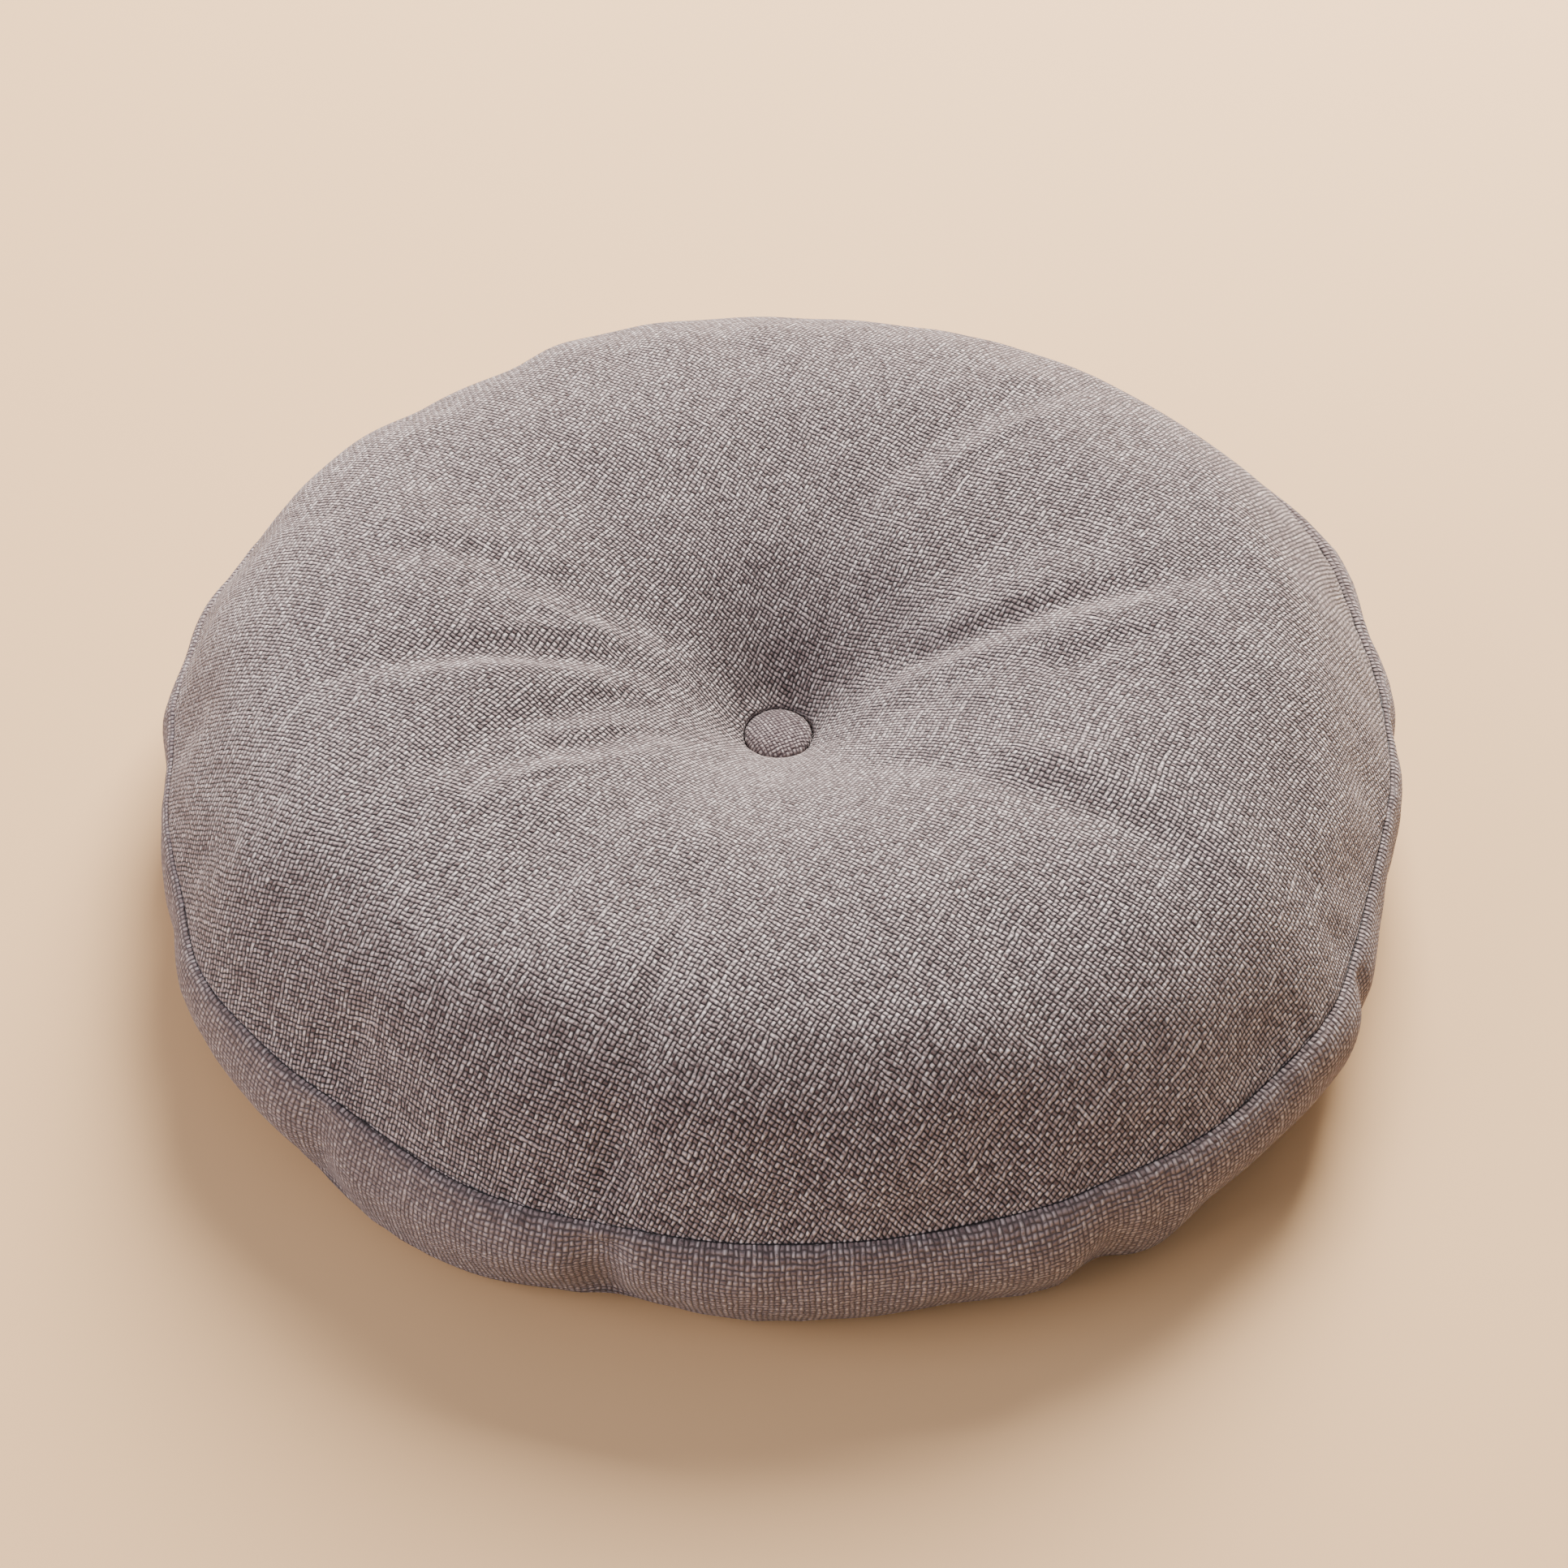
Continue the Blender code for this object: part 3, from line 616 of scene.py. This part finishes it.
@dataclass
class CushionCover:
    """The filled cover: top panel, band and bottom panel as one closed skin, blown up by its filling."""

    form: CushionForm
    cloth: LinenLook
    meridians: int = 224
    top_rings: int = 64
    band_rings: int = 20
    bottom_rings: int = 18
    groove_depth: float = 0.55 * MM
    groove_width: float = 0.6 * MM
    lower_groove_share: float = 0.4
    # painted shade: how far from a seam its dark line reaches, and the station where the lower seam's dark line is
    # drawn, a little above its edge
    seam_shade_reach: float = 1.7 * MM
    lower_seam_shade_line: float = 1.95
    loose_seam_degrees: float = 28.0
    loose_seam_width: float = 40.0
    roll_height: float = 0.3 * MM
    gather_height: float = 0.45 * MM
    lump_height: float = 0.7 * MM

    def stations(self) -> np.ndarray:
        """Stations of the rings of faces, closer together at the seams and round the button."""
        fine = np.linspace(0.0, 3.0, 3001)
        reach = self.form.arc_lengths(fine)
        button_edge = self.form.arc_lengths(np.array([0.058]))[0]
        seams = self.form.arc_lengths(np.array([1.0, 2.0]))
        density = 1.0 + 2.5 * np.exp(-np.abs(reach - button_edge) / (6.0 * MM))
        for seam in seams:
            density += 3.0 * np.exp(-np.abs(reach - seam) / (5.0 * MM))
        sums = np.concatenate([[0.0], np.cumsum(0.5 * (density[1:] + density[:-1]) * np.diff(reach))])
        found = []
        for start, rings in ((0, self.top_rings), (1, self.band_rings), (2, self.bottom_rings)):
            low, high = sums[1000 * start], sums[1000 * (start + 1)]
            found.append(np.interp(np.linspace(low, high, rings + 1)[:-1], sums, fine))
        return np.concatenate(found + [[3.0]])

    def skin(self) -> bpy.types.Object:
        """Spin the row of rings into a closed skin and put each point of it in its place."""
        stations = self.stations()
        bm = bmesh.new()
        row = [bm.verts.new((1.0 + index, 0.0, 0.0)) for index in range(len(stations))]
        edges = [bm.edges.new(pair) for pair in zip(row, row[1:])]
        bmesh.ops.spin(bm, geom=row + edges, cent=(0, 0, 0), axis=(0, 0, 1), angle=FULL_TURN,
                       steps=self.meridians, use_merge=True)
        angles = Meridians(self.form, self.meridians).angles
        flat = np.array([vert.co[:2] for vert in bm.verts])
        rings = np.round(np.hypot(flat[:, 0], flat[:, 1])).astype(int) - 1
        lines = np.round(np.arctan2(flat[:, 1], flat[:, 0]) / FULL_TURN * self.meridians).astype(int)
        station, angle = stations[rings], angles[lines % self.meridians]
        station_layer = bm.verts.layers.float.new("station")
        turn_layer = bm.verts.layers.float_vector.new("turn")
        for vert, place, here, turn in zip(bm.verts, self.form.points(station, angle), station, angle):
            vert.co = place
            vert[station_layer] = here
            vert[turn_layer] = (math.cos(turn), math.sin(turn), 0.0)
        bmesh.ops.remove_doubles(bm, verts=bm.verts, dist=MERGE_DISTANCE)
        bm.normal_update()
        bmesh.ops.recalc_face_normals(bm, faces=bm.faces)
        return mesh_object("cushion_cover", bm)

    def blow_up(self, piece: bpy.types.Object, share: float = 0.5, cap: float = 2.5 * MM) -> None:
        """Let the filling press the slightly loose cloth outwards, and keep the wrinkles that this makes.

        The form already has the filled cushion's outline, so the swelling itself isn't kept.

        Args:
            piece: the skin, which the simulation changes.
            share: how much of each wrinkle is kept.
            cap: the furthest that a point may move.
        """
        station = read_floats(piece.data, "station")
        held = (station < 0.075) | (station > 2.05) | (np.abs(station - 1.0) < 0.003)
        held |= np.abs(station - 2.0) < 0.02
        pins = piece.vertex_groups.new(name="held")
        pins.add([int(index) for index in np.nonzero(held)[0]], 1.0, "REPLACE")
        before = read_points(piece.data)
        cloth = piece.modifiers.new("filling", "CLOTH")
        settings = {"vertex_group_mass": "held", "use_pressure": True, "uniform_pressure_force": 4.0, "quality": 6,
                    "mass": 0.3, "tension_stiffness": 25.0, "compression_stiffness": 25.0,
                    "bending_stiffness": 0.1, "shrink_min": -0.03}
        for name, value in settings.items():
            setattr(cloth.settings, name, value)
        cloth.settings.effector_weights.gravity = 0.0
        cloth.point_cache.frame_start = 1
        cloth.point_cache.frame_end = 20
        scene = bpy.context.scene
        for step in range(1, 21):
            scene.frame_set(step)
        settled = bpy.data.meshes.new_from_object(piece.evaluated_get(bpy.context.evaluated_depsgraph_get()))
        move = read_points(settled) - before
        bpy.data.meshes.remove(settled)
        piece.modifiers.remove(cloth)
        piece.vertex_groups.remove(pins)
        scene.frame_set(1)
        wrinkles = share * (move - evened_out(piece.data, move, 60))
        reach = self.form.arc_lengths(station)
        for seam in self.form.arc_lengths(np.array([0.075, 1.0, 2.0])):
            wrinkles *= ease(np.abs(reach - seam) / (25.0 * MM))[:, None]
        length = np.linalg.norm(wrinkles, axis=1)
        log.info("the filling's wrinkles move the cover by %.2f mm at most", length.max() / MM)
        held_back = np.tanh(length / cap) * cap / np.maximum(length, 1e-9)
        write_points(piece.data, before + wrinkles * held_back[:, None])

    def refine(self, piece: bpy.types.Object) -> None:
        """Subdivide the skin once and keep the finer mesh."""
        subdivision = piece.modifiers.new("finer", "SUBSURF")
        subdivision.levels = 1
        subdivision.render_levels = 1
        bpy.context.view_layer.update()
        finer = bpy.data.meshes.new_from_object(piece.evaluated_get(bpy.context.evaluated_depsgraph_get()))
        coarse = piece.data
        piece.modifiers.remove(subdivision)
        piece.data = finer
        bpy.data.meshes.remove(coarse)
        finer.name = piece.name

    def sew(self, piece: bpy.types.Object) -> None:
        """Sink the seams, roll the cloth up beside them, gather it and make the filling a little lumpy; mark where
        the painted shade lines along the seams and the painted shade of the band fall.
        """
        mesh = piece.data
        station = read_floats(mesh, "station")
        turn = read_vectors(mesh, "turn")
        angle = np.arctan2(turn[:, 1], turn[:, 0])
        reach = self.form.arc_lengths(station)
        points = read_points(mesh)
        normals = np.empty(len(mesh.vertices) * 3)
        mesh.vertex_normals.foreach_get("vector", normals)
        normals = normals.reshape(-1, 3)
        move = np.zeros(len(station))
        near = np.zeros(len(station))
        for seam, seed, sunk in ((1.0, 11, 1.0), (2.0, 12, self.lower_groove_share)):
            away = np.abs(reach - self.form.arc_lengths(np.array([seam]))[0])
            side = np.where(station < seam, 0.0, 1.0)
            band_side = np.where(seam == 1.0, side, 1.0 - side)
            off = np.degrees(turn_between(angle, math.radians(self.loose_seam_degrees))) / self.loose_seam_width
            opened = band_side * (bump(off) if seam == 1.0 else 1.0)
            strength = ease(0.5 + 0.5 * uneven(angle, (5, 17), seed))
            waves = uneven(angle + 0.012 * side, (70, 118), seed + 5)
            # painted shade: a dark line along each seam, wider where the upper seam opens and drawn a little above
            # the lower seam's edge
            line = seam if seam == 1.0 else self.lower_seam_shade_line
            beside = np.abs(reach - self.form.arc_lengths(np.array([line]))[0])
            near = np.maximum(near, 1.0 - beside / (self.seam_shade_reach * (1.0 + 2.4 * opened)))
            move -= sunk * self.groove_depth * bump(away / self.groove_width)
            rolled = self.roll_height * (1.0 + 2.0 * opened * (seam == 1.0))
            move += rolled * bump((away - 3.2 * MM) / (2.2 * MM))
            move += self.gather_height * strength * waves * np.exp(-away / (9.0 * MM)) * ease(away / (1.5 * MM))
        resting = ease((points[:, 2] - 1.0 * MM) / (6.0 * MM))
        move += self.lump_height * lumps(points, 0.055) * resting
        write_points(mesh, points + normals * move[:, None])
        # painted shade: the whole side band is marked to be painted darker and flatter, as it lies in shade
        band_shade = (station > 1.0005) & (station < 1.9995)
        for name, values in (("seam", near), ("band_shade", band_shade)):
            mesh.attributes.new(name, "FLOAT", "POINT").data.foreach_set("value", values.astype(np.float32))

    def lay_out(self, piece: bpy.types.Object) -> None:
        """Give the skin a UV map in metres of flat cloth, with a zone for each of its three cuts.

        The yarns of the band run straight down and straight round, and it closes at the back.
        """
        mesh = piece.data
        station = read_floats(mesh, "station")
        turn = read_vectors(mesh, "turn")
        angle = np.arctan2(turn[:, 1], turn[:, 0])
        lower = self.form.arc_lengths(np.array([1.0, 2.0, 3.0]))
        corner = np.empty(len(mesh.loops), dtype=np.int64)
        mesh.loops.foreach_get("vertex_index", corner)
        counts = np.empty(len(mesh.polygons), dtype=np.int64)
        mesh.polygons.foreach_get("loop_total", counts)
        face = np.repeat(np.arange(len(counts)), counts)
        here, there = station[corner], angle[corner]
        reach = self.form.arc_lengths(here)
        middle = np.bincount(face, here) / counts
        middle_angle = np.arctan2(np.bincount(face, np.sin(there)), np.bincount(face, np.cos(there)))
        from_front = turn_between(middle_angle, -math.pi / 2.0)
        along = (from_front[face] + turn_between(there, middle_angle[face])) * self.form.seam_radius(there).mean()
        up = lower[1] - reach
        grain = math.radians(self.cloth.warp_degrees)
        top = np.stack([reach * np.cos(there), reach * np.sin(there)], axis=-1)
        band = np.stack([up * math.cos(grain) + along * math.sin(grain),
                         up * math.sin(grain) - along * math.cos(grain)], axis=-1)
        back = lower[2] - reach
        bottom = np.stack([back * np.cos(there), back * np.sin(there)], axis=-1)
        zone = middle[face][:, None]
        flat = np.where(zone < 1.0, top, np.where(zone < 2.0, band + 2.0, bottom + 4.0))
        layer = mesh.uv_layers.new(name="cloth")
        layer.uv.foreach_set("vector", flat.astype(np.float32).ravel())

    def build(self) -> bpy.types.Object:
        """Make the cover, hang it on the root body and hide the solids that it stands for.

        Returns:
            The finished piece.
        """
        piece = self.skin()
        self.blow_up(piece)
        self.refine(piece)
        self.sew(piece)
        self.lay_out(piece)
        shade_smooth(piece)
        piece.data.materials.append(self.cloth.build())
        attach(piece, "root")
        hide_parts("cushion_body", "top_panel", "bottom_panel")
        log.info("cushion cover: %d faces", len(piece.data.polygons))
        return piece


def lumps(points: np.ndarray, size: float) -> np.ndarray:
    """A smooth uneven value in space, from seeded waves, mostly between -1 and 1.

    Args:
        points: where it is read.
        size: the length of its waves in metres.

    Returns:
        The value at each point.
    """
    draw = np.random.default_rng(21)
    total = np.zeros(len(points))
    for _ in range(14):
        way = draw.normal(size=3)
        way *= FULL_TURN / (size * draw.uniform(0.7, 1.6)) / np.linalg.norm(way)
        total += np.sin(points @ way + draw.uniform(0.0, FULL_TURN))
    return total / math.sqrt(14.0)


def evened_out(mesh: bpy.types.Mesh, values: np.ndarray, rounds: int) -> np.ndarray:
    """Smooth a vector that each point of a mesh has over its neighbours, a number of times."""
    pairs = np.empty(len(mesh.edges) * 2, dtype=np.int64)
    mesh.edges.foreach_get("vertices", pairs)
    here = np.concatenate([pairs[0::2], pairs[1::2]])
    there = np.concatenate([pairs[1::2], pairs[0::2]])
    count = np.bincount(here, minlength=len(values))
    for _ in range(rounds):
        sums = [np.bincount(here, column[there], minlength=len(values)) for column in values.T]
        values = 0.5 * (values + np.stack(sums, axis=-1) / count[:, None])
    return values


def read_points(mesh: bpy.types.Mesh) -> np.ndarray:
    """Read a mesh's points as rows of x, y and z."""
    values = np.empty(len(mesh.vertices) * 3)
    mesh.vertices.foreach_get("co", values)
    return values.reshape(-1, 3)


def write_points(mesh: bpy.types.Mesh, points: np.ndarray) -> None:
    """Write a mesh's points from rows of x, y and z."""
    mesh.vertices.foreach_set("co", points.ravel())
    mesh.update()


def read_floats(mesh: bpy.types.Mesh, name: str) -> np.ndarray:
    """Read a number that each point of a mesh carries."""
    values = np.empty(len(mesh.vertices), dtype=np.float32)
    mesh.attributes[name].data.foreach_get("value", values)
    return values.astype(float)


def read_vectors(mesh: bpy.types.Mesh, name: str) -> np.ndarray:
    """Read a vector that each point of a mesh carries."""
    values = np.empty(len(mesh.vertices) * 3, dtype=np.float32)
    mesh.attributes[name].data.foreach_get("vector", values)
    return values.reshape(-1, 3).astype(float)


def mesh_object(name: str, bm: bmesh.types.BMesh) -> bpy.types.Object:
    """Make an object of a finished bmesh at the origin."""
    mesh = bpy.data.meshes.new(name)
    bm.to_mesh(mesh)
    bm.free()
    piece = bpy.data.objects.new(name, mesh)
    bpy.context.scene.collection.objects.link(piece)
    return piece


def shade_smooth(piece: bpy.types.Object) -> None:
    """Shade a piece smooth."""
    piece.data.shade_smooth()


@dataclass
class CoveredButton:
    """A button covered in the same cloth, domed on its face, drawn in by the tuft's thread."""

    name: str
    node: str
    facing: int
    cloth: LinenLook
    sides: int = 72
    rim: float = 1.5 * MM
    gather_height: float = 0.12 * MM
    gathers: int = 19

    def build(self) -> bpy.types.Object:
        """Spin the button's section, gather its edge and put it where the solid one is."""
        low, high = (Vector(corner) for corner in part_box(self.node))
        centre = (low + high) / 2.0
        radius = (high.x - low.x) / 2.0
        dome = high.z - low.z
        shoulder = 1.3 * self.rim
        profile = [(0.0, 0.0), (0.5 * radius, 0.0), (radius - self.rim, 0.0)]
        for step in range(1, 7):
            turn = -math.pi / 2.0 + math.pi / 2.0 * step / 6
            profile.append((radius - self.rim + self.rim * math.cos(turn), self.rim + self.rim * math.sin(turn)))
        for step in range(1, 13):
            turn = math.pi / 2.0 * step / 13
            profile.append((radius * math.cos(turn) ** 0.9, shoulder + (dome - shoulder) * math.sin(turn)))
        profile.append((0.0, dome))
        bm = bmesh.new()
        row = [bm.verts.new((reach, 0.0, height)) for reach, height in profile]
        edges = [bm.edges.new(pair) for pair in zip(row, row[1:])]
        bmesh.ops.spin(bm, geom=row + edges, cent=(0, 0, 0), axis=(0, 0, 1), angle=FULL_TURN,
                       steps=self.sides, use_merge=True)
        bmesh.ops.remove_doubles(bm, verts=bm.verts, dist=MERGE_DISTANCE)
        layer = bm.loops.layers.uv.new("cloth")
        for face in bm.faces:
            for loop in face.loops:
                loop[layer].uv = (loop.vert.co.x, loop.vert.co.y)
        for vert in bm.verts:
            reach = vert.co.xy.length
            turn = math.atan2(vert.co.y, vert.co.x)
            edge = max(0.0, reach / radius - 0.75) / 0.25
            vert.co.z += self.gather_height * edge * math.sin(self.gathers * turn + 2.0 * math.sin(3.0 * turn))
        bmesh.ops.scale(bm, vec=(1.0, 1.0, self.facing), verts=bm.verts)
        base = low.z if self.facing > 0 else high.z
        bmesh.ops.translate(bm, vec=(centre.x, centre.y, base), verts=bm.verts)
        bm.normal_update()
        bmesh.ops.recalc_face_normals(bm, faces=bm.faces)
        piece = mesh_object(self.name, bm)
        shade_smooth(piece)
        piece.data.materials.append(self.cloth.build())
        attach(piece, "root")
        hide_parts(self.node)
        log.info("%s: %d faces", self.name, len(piece.data.polygons))
        return piece


@dataclass
class Studio:
    """A plain pale floor, a soft light from the back right, and the camera at the photo's angle."""

    target: Vector = field(default_factory=lambda: Vector((0.0020, -0.0201, 0.051)))
    distance: float = 1.318
    elevation: float = math.radians(48.0)
    lens: float = 85.5
    floor_size: float = 6.0
    floor_colour: str = "#E2BA86"

    def build(self) -> None:
        """Lay the floor, hang the lights and set up the camera."""
        self.lay_floor()
        self.hang_light("key", Vector((0.5, 1.98, 1.6)), 1.4, 262.0, "#FFF7F2")
        self.hang_light("side", Vector((-1.9, -0.8, 1.2)), 1.6, 37.0, "#F7F1FF")
        world = bpy.data.worlds.new("studio")
        world.use_nodes = True
        world.node_tree.nodes["Background"].inputs["Color"].default_value = hex_colour("#FAF4FE")
        world.node_tree.nodes["Background"].inputs["Strength"].default_value = 0.44
        bpy.context.scene.world = world
        camera = bpy.data.cameras.new("camera")
        camera.lens = self.lens
        camera.sensor_width = 36.0
        camera.clip_start = 0.05
        holder = bpy.data.objects.new("camera", camera)
        away = Vector((0.0, -math.cos(self.elevation), math.sin(self.elevation)))
        holder.location = self.target + self.distance * away
        holder.rotation_euler = (math.pi / 2.0 - self.elevation, 0.0, 0.0)
        bpy.context.scene.collection.objects.link(holder)
        bpy.context.scene.camera = holder

    def lay_floor(self) -> None:
        """Lay a plain pale floor just under the cushion."""
        bm = bmesh.new()
        bmesh.ops.create_grid(bm, x_segments=1, y_segments=1, size=self.floor_size / 2.0)
        bmesh.ops.translate(bm, vec=(0.0, 0.0, -0.2 * MM), verts=bm.verts)
        floor = mesh_object("floor", bm)
        nodes = Nodes("matt_pale_floor")
        nodes.shader.inputs["Base Color"].default_value = hex_colour(self.floor_colour)
        nodes.shader.inputs["Roughness"].default_value = 0.75
        floor.data.materials.append(nodes.material)

    def hang_light(self, name: str, place: Vector, size: float, power: float, colour: str) -> None:
        """Hang a square soft light that points at the cushion."""
        light = bpy.data.lights.new(name, "AREA")
        light.size = size
        light.energy = power
        light.color = hex_colour(colour)[:3]
        holder = bpy.data.objects.new(name, light)
        holder.location = place
        holder.rotation_euler = (Vector((0.0, 0.0, 0.05)) - place).to_track_quat("-Z", "Y").to_euler()
        bpy.context.scene.collection.objects.link(holder)


def main() -> None:
    """Build the studio and every piece of the cushion in order."""
    logging.basicConfig(level=logging.INFO, format="%(name)s: %(message)s")
    Studio().build()
    form = CushionForm()
    CushionCover(form, LinenLook("linen_look_plain_weave")).build()
    button_cloth = LinenLook("linen_look_stretched_over_button", warp_degrees=118.0, warp_pitch=1.35 * MM,
                             weft_pitch=1.3 * MM, crossing_contrast=0.3, gap_shade="#54474A", middle_yarn="#A99895")
    CoveredButton("covered_button_top", "top_button", 1, button_cloth).build()
    CoveredButton("covered_button_bottom", "bottom_button", -1, button_cloth).build()
    bpy.context.view_layer.update()


if __name__ == "__main__":
    main()
